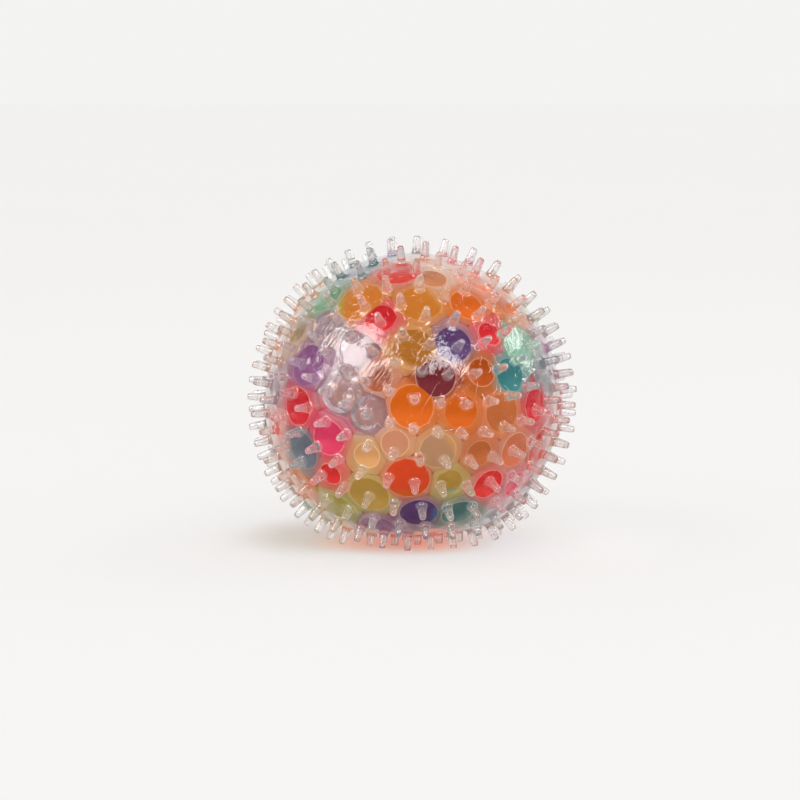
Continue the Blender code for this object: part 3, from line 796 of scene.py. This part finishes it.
# Each photographed bead: node, the middle and radius in pixels of the disc that touches the skin, and its dye
seenBeads = (
    ("bead_01_orange", 410, 405, 21, "tangerine"),
    ("bead_02_orange", 457, 410, 16, "tangerine"),
    ("bead_03_amber", 497, 411, 17, "amber"),
    ("bead_04_orange", 477, 372, 13, "rust"),
    ("bead_05_vermilion", 406, 474, 20, "vermilion"),
    ("bead_06_tan", 435, 447, 17, "tan"),
    ("bead_07_blush", 394, 440, 13, "blush"),
    ("bead_08_yellow", 367, 452, 12, "straw"),
    ("bead_09_olive", 369, 490, 18, "olive"),
    ("bead_10_lime", 340, 504, 16, "lime"),
    ("bead_11_orange", 303, 483, 15, "orange"),
    ("bead_12_red", 332, 470, 10, "red"),
    ("bead_13_crimson", 330, 435, 16, "raspberry"),
    ("bead_14_slate", 305, 447, 16, "slate"),
    ("bead_15_crimson", 300, 405, 16, "crimson"),
    ("bead_16_salmon", 277, 420, 11, "scarlet"),
    ("bead_17_mauve", 277, 388, 12, "mauve"),
    ("bead_18_violet", 310, 365, 18, "violet"),
    ("bead_19_clear", 353, 352, 14, "clear"),
    ("bead_20_clear", 342, 390, 20, "clear"),
    ("bead_21_clear", 367, 411, 16, "clear"),
    ("bead_22_copper", 378, 378, 13, "copper"),
    ("bead_23_gold", 412, 350, 20, "honey"),
    ("bead_24_maroon", 433, 377, 19, "maroon"),
    ("bead_25_indigo", 450, 345, 17, "indigo"),
    ("bead_26_orange", 418, 305, 19, "marigold"),
    ("bead_27_orange", 463, 307, 15, "tangerine"),
    ("bead_28_orange", 502, 308, 11, "tangerine"),
    ("bead_29_amber", 475, 285, 11, "umber"),
    ("bead_30_peach", 430, 281, 12, "peach"),
    ("bead_31_tan", 425, 263, 9, "peach"),
    ("bead_32_red", 397, 275, 17, "scarlet"),
    ("bead_33_gold", 360, 303, 20, "marigold"),
    ("bead_34_teal", 358, 270, 17, "pine"),
    ("bead_35_green", 328, 300, 14, "moss"),
    ("bead_36_clear", 325, 328, 12, "clear"),
    ("bead_37_olive", 299, 333, 11, "bronze"),
    ("bead_38_red", 380, 320, 14, "crimson"),
    ("bead_39_red", 485, 335, 11, "crimson"),
    ("bead_40_mint", 512, 345, 16, "mint"),
    ("bead_41_teal", 505, 375, 15, "teal"),
    ("bead_42_slate", 540, 370, 12, "slate"),
    ("bead_43_red", 530, 404, 14, "crimson"),
    ("bead_44_amber", 510, 447, 15, "umber"),
    ("bead_45_amber", 475, 450, 12, "amber"),
    ("bead_46_coral", 535, 447, 13, "scarlet"),
    ("bead_47_red", 484, 480, 14, "cherry"),
    ("bead_48_crimson", 510, 480, 11, "rose"),
    ("bead_49_olive", 446, 477, 12, "olive"),
    ("bead_50_indigo", 417, 508, 16, "indigo"),
    ("bead_51_teal", 455, 508, 14, "fir"),
    ("bead_52_violet", 378, 522, 15, "violet"),
)
widerDiscs = {"bead_46_coral": 1.3}  # that show wider than the solid's
# Discs with a painted lighter side: its direction in degrees, anticlockwise from the right, and the dye whose
# full colour paints it
paintedLitSides = {
    "bead_03_amber": (-85, "marigold"),
    "bead_23_gold": (-120, "straw"),
    "bead_26_orange": (35, "straw"),
    "bead_07_blush": (-60, "straw"),
    "bead_06_tan": (30, "straw"),
    "bead_50_indigo": (-10, "sky"),
    "bead_49_olive": (-80, "mint"),
    "bead_33_gold": (200, "lime"),
    "bead_10_lime": (-100, "sea"),
    "bead_05_vermilion": (-90, "tangerine"),
    "bead_34_teal": (-20, "sky"),
}
underDyes = ("red", "vermilion", "scarlet", "tangerine", "coral", "crimson")
coreDyes = ("blush", "peach", "mauve", "straw", "salmon", "clear")
rearDyes = (
    "red", "orange", "teal", "crimson", "violet", "lime", "marigold", "scarlet", "sea", "indigo", "peach",
    "honey", "mint", "raspberry", "umber", "slate",
)
# Beads near the outline that aren't in the table above: where they show, in pixels, and their dye
outlineDyes = (
    (394, 254, "sky"), (451, 258, "raspberry"), (308, 297, "blush"), (275, 451, "peach"), (312, 506, "sea"),
    (547, 348, "violet"), (556, 406, "salmon"), (547, 453, "blush"), (521, 494, "mauve"), (483, 521, "slate"),
    (435, 529, "vermilion"), (395, 528, "red"), (348, 525, "blush"), (278, 343, "blush"), (266, 388, "mauve"),
    (502, 285, "peach"), (529, 312, "sea"), (343, 271, "mint"),
)
outlineReach = 7  # pixels
rearSides = {
    # direction, and the record's slot for the group
    "left": ((-1, 0, 0), "bead_crimson"),
    "right": ((1, 0, 0), "bead_gold"),
    "top": ((0, 0, 1), "bead_teal"),
    "under": ((0, 0, -1), "bead_orange"),
    "back": ((0, 1, 0), "bead_violet"),
}


def frameLimit(direction):  # the frame's own limit for a bead, under the faceted inside of its skin
    faceted = math.cos(math.radians(beads["facetAngle"]))
    return (outerRadius(direction) - ball["wall"]) * faceted - beads["clearance"]


def seenCentres():
    _, upward, towards = viewAxes()
    radius, view = beads["diameter"] / 2, beads["viewRadius"]
    centres = []
    for _, column, row, disc, _ in seenBeads:
        across = (column - beads["viewCentre"][0]) / view
        height = (beads["viewCentre"][1] - row) / view
        depth = math.sqrt(max(0.0, 1 - across ** 2 - height ** 2))
        direction = (Vector((1, 0, 0)) * across + upward * height + towards * depth).normalized()
        limit = frameLimit(direction)
        contact = min(limit * disc / view, beads["solidDisc"] * radius)
        sunk = math.sqrt(limit ** 2 - contact ** 2) - math.sqrt(radius ** 2 - contact ** 2)
        centres.append(direction * sunk)
    return centres


def rearCentres(taken):  # always in the widest gap, then evened out
    def place(direction):
        return direction * (frameLimit(direction) - beads["diameter"] / 2 + beads["press"])

    choices = [place(direction) for direction in spread(beads["spots"])]
    spots = np.array([list(choice) for choice in choices])
    nearest = np.full(len(spots), 1e9)
    for centre in taken:
        nearest = np.minimum(nearest, np.linalg.norm(spots - np.array(centre), axis=1))
    added = []
    while nearest.max() >= beads["crowding"] * beads["spacing"]:
        added.append(choices[int(np.argmax(nearest))])
        nearest = np.minimum(nearest, np.linalg.norm(spots - np.array(added[-1]), axis=1))
    nearby = beads["swayReach"] * beads["spacing"]
    for _ in range(beads["settlingSteps"]):
        for i, centre in enumerate(added):
            push = Vector((0, 0, 0))
            for other in list(taken) + added:
                apart = centre - other
                if 0 < apart.length < nearby:
                    push += apart.normalized() * (nearby - apart.length)
            added[i] = place((centre + push * beads["sway"]).normalized())
    return added


gelFinish = {
    "scale": 160,
    "clouds": (0.3, 0.75),  # the noise at which they start and are full
    "discClouds": 0.08,  # how much pale they bring into the full colour
    "paleClouds": 0.3,
    "discEdge": (0.07, -0.02),  # millimetres past the disc's edge, from pale to full colour
    "edgeWave": 0.05,
    # where the painted lighter side of a disc starts and is full, and how much the clouds move its edge
    "sweepEdge": (0.62, 1.05),
    "sweepWave": 0.2,
    # the painted highlight round a disc's edge: where it fades outside and inside, in millimetres past the
    # edge, and its colour
    "rimHighlightOut": (0.12, 0.03),
    "rimHighlightIn": (-0.10, -0.02),
    "rimHighlightColour": (0.99, 0.90, 0.74),
    "deep": (7.0, 9.0),  # towards the body under the rim, which glows more
    "deepGlow": 0.30,
    "roughness": 0.3,
}
clearGel = {
    "scale": 220,
    "tones": ((0.94, 0.85, 0.88), (0.84, 0.72, 0.77)),
    "roughness": 0.12,
    "ior": 1.34,
    "transmission": 0.90,
    "gloss": 0.15,
    "shade": (0.93, 0.90, 0.94),
}


def makeGelFinish(name, glow=beads["glow"]):
    gel = Finish(name)
    cloud = gel.noise(gel.place(), gelFinish["scale"])
    clouds = gel.step(cloud, *gelFinish["clouds"])
    full, pale = gel.attribute("fullColour", "Color"), gel.attribute("paleColour", "Color")
    bright = gel.attribute("sweepColour", "Color")
    past = gel.attribute("pastEdge")  # millimetres beyond the edge of the disc
    disc = gel.step(past + cloud * gelFinish["edgeWave"], *gelFinish["discEdge"])
    # painted light: a lighter side of the disc, in another dye's colour or, lower down, a brighter copy of
    # its own
    litSideMask = gel.step(gel.attribute("sweep") + cloud * gelFinish["sweepWave"], *gelFinish["sweepEdge"])
    inside = gel.mix(litSideMask, full, bright)
    inside = gel.mix(clouds * gelFinish["discClouds"], inside, pale)
    # off the disc the pale colour, a painted haze of light over the gel, clouded with the full one
    veil = gel.mix(clouds * gelFinish["paleClouds"], pale, full)
    # painted highlight: a bright line along the disc's edge, as strong as the bead's rim value
    rim = gel.step(past, *gelFinish["rimHighlightIn"]) * gel.step(past, *gelFinish["rimHighlightOut"]) * gel.attribute("rim")
    colour = gel.mix(disc, veil, inside)
    colour = gel.mix(rim, colour, linear(gelFinish["rimHighlightColour"]))
    deep = gel.step(past, *gelFinish["deep"])
    shine = gel.mix(deep * gelFinish["deepGlow"] + glow, (0, 0, 0), colour)
    wet = gel.node("ShaderNodeBsdfPrincipled", {}, {
        "Base Color": colour, "Roughness": gelFinish["roughness"], "Specular IOR Level": 0.0,
        "Emission Color": shine, "Emission Strength": 1.0})
    return gel.end(wet)


def makeClearFinish():
    gel = Finish("clearGel")
    tone = gel.mix(gel.noise(gel.place(), clearGel["scale"]), *clearGel["tones"])
    glass = gel.node("ShaderNodeBsdfPrincipled", {}, {
        "Base Color": tone, "Roughness": clearGel["roughness"], "IOR": clearGel["ior"],
        "Transmission Weight": clearGel["transmission"], "Specular IOR Level": clearGel["gloss"]})
    clear = gel.node("ShaderNodeBsdfTransparent", {}, {"Color": clearGel["shade"]})
    return gel.end(gel.node("ShaderNodeMixShader", {}, (gel.rays("Is Shadow Ray"), glass, clear)))


def innerLimit(directions):  # the skin's inside for many directions at once
    flat = restHeight / np.maximum(-directions[:, 2], 1e-3)
    power = float(ball["flatSharpness"])
    outer = (ballRadius ** -power + flat ** -power) ** (-1 / power)
    return outer - ball["wall"] - beads["skinGap"]


def beadShell(bm, layers, centre, contact, others, paints, clear=False):
    # Rings along the skin from the middle of the disc to the neighbours, then round the body to its foot
    axis = np.array(centre.normalized())
    first, second = (np.array(vector) for vector in sideVectors(Vector(axis)))
    middle = np.array(centre)
    count = beads["around"]
    turns = np.arange(count) * 2 * np.pi / count
    sideways = np.cos(turns)[:, None] * first + np.sin(turns)[:, None] * second
    aparts = others - middle
    lengths = np.linalg.norm(aparts, axis=1)
    near = lengths < beads["near"] * beads["diameter"]
    normals = aparts[near] / lengths[near][:, None]
    limits = lengths[near] / 2 - beads["gap"] / 2
    radius = beads["diameter"] / 2
    skinRadius = innerLimit(axis[None, :])[0]

    def top(reach, edge):  # points at a distance along the skin from the middle of the disc
        angle = reach / skinRadius
        directions = np.cos(angle)[:, None] * axis + np.sin(angle)[:, None] * sideways
        directions /= np.linalg.norm(directions, axis=1)[:, None]
        over = np.clip(reach, contact, None)
        if clear:
            fall = math.sqrt(radius ** 2 - contact ** 2) - np.sqrt(np.clip(radius ** 2 - over ** 2, 0, None))
        else:
            fall = beads["valley"] * ((over - contact) / np.maximum(edge - contact, beads["leastRim"])) ** 2
        return directions * (innerLimit(directions) - fall)[:, None]

    low, high = np.zeros(count), np.full(count, radius * beads["clearReach"] if clear else beads["reach"])
    for _ in range(beads["reachSteps"]):
        half = (low + high) / 2
        inside = (((top(half, half) - middle) @ normals.T) < limits).all(axis=1)
        low, high = np.where(inside, half, low), np.where(inside, high, half)
    edge = low
    rings, pasts = [], []
    for share in beads["discRings"]:
        reach = np.minimum(contact * share, edge * share * beads["discShare"])
        rings.append(top(reach, edge))
        pasts.append((reach - contact) / mm)
    start = np.minimum(contact, edge * beads["discShare"])
    for share in beads["rimRings"]:
        reach = start + (edge - start) * share
        rings.append(top(reach, edge) if share < 1 else top(reach, edge) - beads["rimDrop"] * axis)
        pasts.append((reach - contact) / mm)
    # The body under the rim, each point as far out as the neighbours leave it
    ends = rings[-1] - middle
    polar = np.arctan2(np.linalg.norm(ends - (ends @ axis)[:, None] * axis, axis=1), ends @ axis)
    for share in beads["bodyRings"]:
        angle = polar + (np.pi - polar) * share
        rays = np.cos(angle)[:, None] * axis + np.sin(angle)[:, None] * sideways
        out = np.full(count, radius * (1 if clear else beads["bulge"]))
        for normal, limit in zip(normals, limits):
            lean = rays @ normal
            out = np.where(lean > 1e-6, np.minimum(out, limit / np.maximum(lean, 1e-6)), out)
        down = -(rays @ axis)
        floor = np.linalg.norm(middle) - coreRadius - beads["gap"]
        out = np.where(down > 1e-6, np.minimum(out, floor / np.maximum(down, 1e-6)), out)
        rings.append(middle + rays * out[:, None])
        pasts.append(np.full(count, beads["deepMark"]))
    foot = middle - axis * min(radius, np.linalg.norm(middle) - coreRadius - beads["gap"])
    summit = top(np.zeros(count), edge)[0]
    full, pale, bright, sweepFrom, sweepShare, rim, sweepTurn, borders = paints
    pastLayer, sweepLayer, rimHighlightLayer, fullLayer, paleLayer, brightLayer = layers
    sweepWay = math.cos(sweepTurn) * first + math.sin(sweepTurn) * second

    def add(point, past, paleHere):
        vert = bm.verts.new(point)
        vert[pastLayer] = past
        along = float((np.array(point) - summit) @ sweepWay) / max(contact, 1e-6)
        vert[sweepLayer] = along * sweepShare + sweepFrom
        vert[rimHighlightLayer] = rim
        vert[fullLayer], vert[paleLayer], vert[brightLayer] = (*full, 1), (*paleHere, 1), (*bright, 1)
        return vert

    def bordered(point, past):  # the pale colour takes on the neighbour's near the border
        if past <= 0:
            return pale
        gaps = limits - (point - middle) @ normals.T
        nearest = int(np.argmin(gaps))
        share = 0.5 * math.exp(-max(gaps[nearest], 0) / beads["blend"])
        other = borders[nearest]
        return tuple(a + (b - a) * share for a, b in zip(pale, other))

    pole = add(summit, -contact / mm, pale)
    previous = None
    for ring, past in zip(rings, pasts):
        verts = [add(point, float(gap), bordered(point, gap)) for point, gap in zip(ring, past)]
        for i in range(count):
            if previous is None:
                bm.faces.new((pole, verts[i - 1], verts[i]))
            else:
                bm.faces.new((previous[i - 1], verts[i - 1], verts[i], previous[i]))
        previous = verts
    end = add(foot, beads["deepMark"], pale)
    for i in range(count):
        bm.faces.new((previous[i - 1], end, previous[i]))


def shellLayers(bm):
    # rim holds how strong the painted highlight round the disc is
    floats = [bm.verts.layers.float.new(name) for name in ("pastEdge", "sweep", "rim")]
    colours = [bm.verts.layers.float_color.new(name) for name in ("fullColour", "paleColour", "sweepColour")]
    return floats + colours


def makeBeads():
    chance = random.Random(beads["seed"])
    seen = seenCentres()
    rear = rearCentres(seen)
    centres = seen + rear
    view, radius = beads["viewRadius"], beads["diameter"] / 2
    contacts = []
    for name, column, row, disc, _ in seenBeads:
        out = math.hypot(column - beads["viewCentre"][0], row - beads["viewCentre"][1]) / view
        wider = widerDiscs.get(name, 1) * (1 + beads["limbDiscs"] * out ** 2)
        contacts.append(disc * wider / view * (ballRadius - ball["wall"]))
    contacts += [chance.uniform(*beads["rearDiscs"]) for _ in rear]
    names = [row[4] for row in seenBeads]
    scale = studio["pixelsPerMm"] / mm
    _, upward, towards = viewAxes()
    for i in range(len(seen), len(centres)):
        way = centres[i].normalized()
        under = way.z < beads["underFrom"]
        close = sorted(range(len(names)), key=lambda k: (centres[k] - centres[i]).length)
        taken = {names[k] for k in close[:beads["unlike"]]}
        names.append(chance.choice(underDyes if under else [dye for dye in rearDyes if dye not in taken]))
        outer = centres[i] + way * radius
        column = studio["ballPixel"][0] + outer.x * scale
        row = studio["ballPixel"][1] - outer.dot(upward) * scale
        for whereAcross, whereDown, dye in outlineDyes:
            far = math.hypot(column - whereAcross, row - whereDown)
            if way.dot(towards) > beads["outlineFacing"] and far < outlineReach:
                names[i] = dye
    everyone = np.array([list(centre) for centre in centres])

    def vary(colour, amount):
        shift = chance.uniform(-amount, amount)
        changed = [channel + shift + chance.uniform(-amount, amount) * 0.4 for channel in colour]
        return tuple(min(1.0, max(0.0, channel)) for channel in changed)

    fulls = [linear(vary(dyesAndHaze[name][0], beads["variation"])) for name in names]
    pales = [linear(vary(dyesAndHaze[name][1], beads["variation"])) for name in names]

    def paintsOf(i, near):
        full = fulls[i]
        turn, dye = paintedLitSides.get(seenBeads[i][0], (-90, None)) if i < len(seen) else (-90, None)
        # a brighter copy of the full colour paints light on the disc's lower part
        lit = tuple(min(0.9, channel * beads["lowerGlow"] + 0.012) for channel in full)
        bright = linear(dyesAndHaze[dye][0]) if dye else lit
        sweep = beads["litSideSweep"] if dye else beads["plainSweep"]
        # how strong this disc's painted highlight is
        rim = chance.uniform(*beads["rims"])
        return full, pales[i], bright, *sweep, rim, math.radians(turn), [pales[k] for k in near]

    def shell(bm, layers, i, clear=False):
        others = np.array([k for k in range(len(centres)) if k != i])
        lengths = np.linalg.norm(everyone[others] - everyone[i], axis=1)
        near = others[lengths < beads["near"] * beads["diameter"]]
        contact = min(contacts[i], beads["widestDisc"] * radius)
        beadShell(bm, layers, centres[i], contact, everyone[others], paintsOf(i, near), clear)

    clearMaterial = makeClearFinish()
    for i, row in enumerate(seenBeads):
        bm = bmesh.new()
        layers = shellLayers(bm)
        clear = row[4] == "clear"
        shell(bm, layers, i, clear)
        colour = row[0].split("_")[2]
        name = "gel_" + row[0][5:]
        piece = finished(name, bm, [clearMaterial if clear else makeGelFinish(name)])
        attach(piece, "root")
        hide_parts(row[0])
        "bead_" + colour
    print("beads in the photograph:", len(seen))

    def sideOf(centre):
        return max(rearSides, key=lambda side: centre.normalized().dot(Vector(rearSides[side][0])))

    for side, (_, slot) in rearSides.items():
        mine = [i for i in range(len(seen), len(centres)) if sideOf(centres[i]) == side]
        bm = bmesh.new()
        layers = shellLayers(bm)
        for i in mine:
            shell(bm, layers, i)
        glow = beads["underGlow"] if side == "under" else beads["glow"]
        piece = finished("gel_" + side, bm, [makeGelFinish("gel_" + side, glow)])
        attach(piece, "root")
        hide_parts("rear_beads_" + side)
        print(side, "beads:", len(mine))


core = {"beads": 26, "subdivisions": 6, "glow": 0.12, "seed": 3}


def makeCore():
    radius = beads["diameter"] / 2
    knob = coreRadius - radius
    centres = [direction * knob for direction in spread(core["beads"])]
    chance = random.Random(core["seed"])
    dyesHere = [chance.choice(coreDyes) for _ in centres]
    bm = bmesh.new()
    layers = shellLayers(bm)
    bmesh.ops.create_icosphere(bm, subdivisions=core["subdivisions"], radius=1)
    for vert in bm.verts:
        ray = vert.co.normalized()
        reach, owner = knob, 0
        for number, centre in enumerate(centres):
            along = ray.dot(centre)
            inside = radius ** 2 - centre.length_squared + along ** 2
            if along > 0 and inside > 0 and along + math.sqrt(inside) > reach:
                reach, owner = along + math.sqrt(inside), number
        vert.co = ray * reach
        full, pale = (linear(colour) for colour in dyesAndHaze[dyesHere[owner]])
        vert[layers[0]] = 1.0
        for layer in layers[3:]:
            vert[layer] = (*tuple((a + b) / 2 for a, b in zip(full, pale)), 1)
    piece = finished("gel_core", bm, [makeGelFinish("gel_core", core["glow"])])
    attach(piece, "root")
    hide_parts("inner_beads")
    print("inner beads:", core["beads"])


makeStudio()
makeSkin()
makeStopper()
makeBeads()
makeCore()
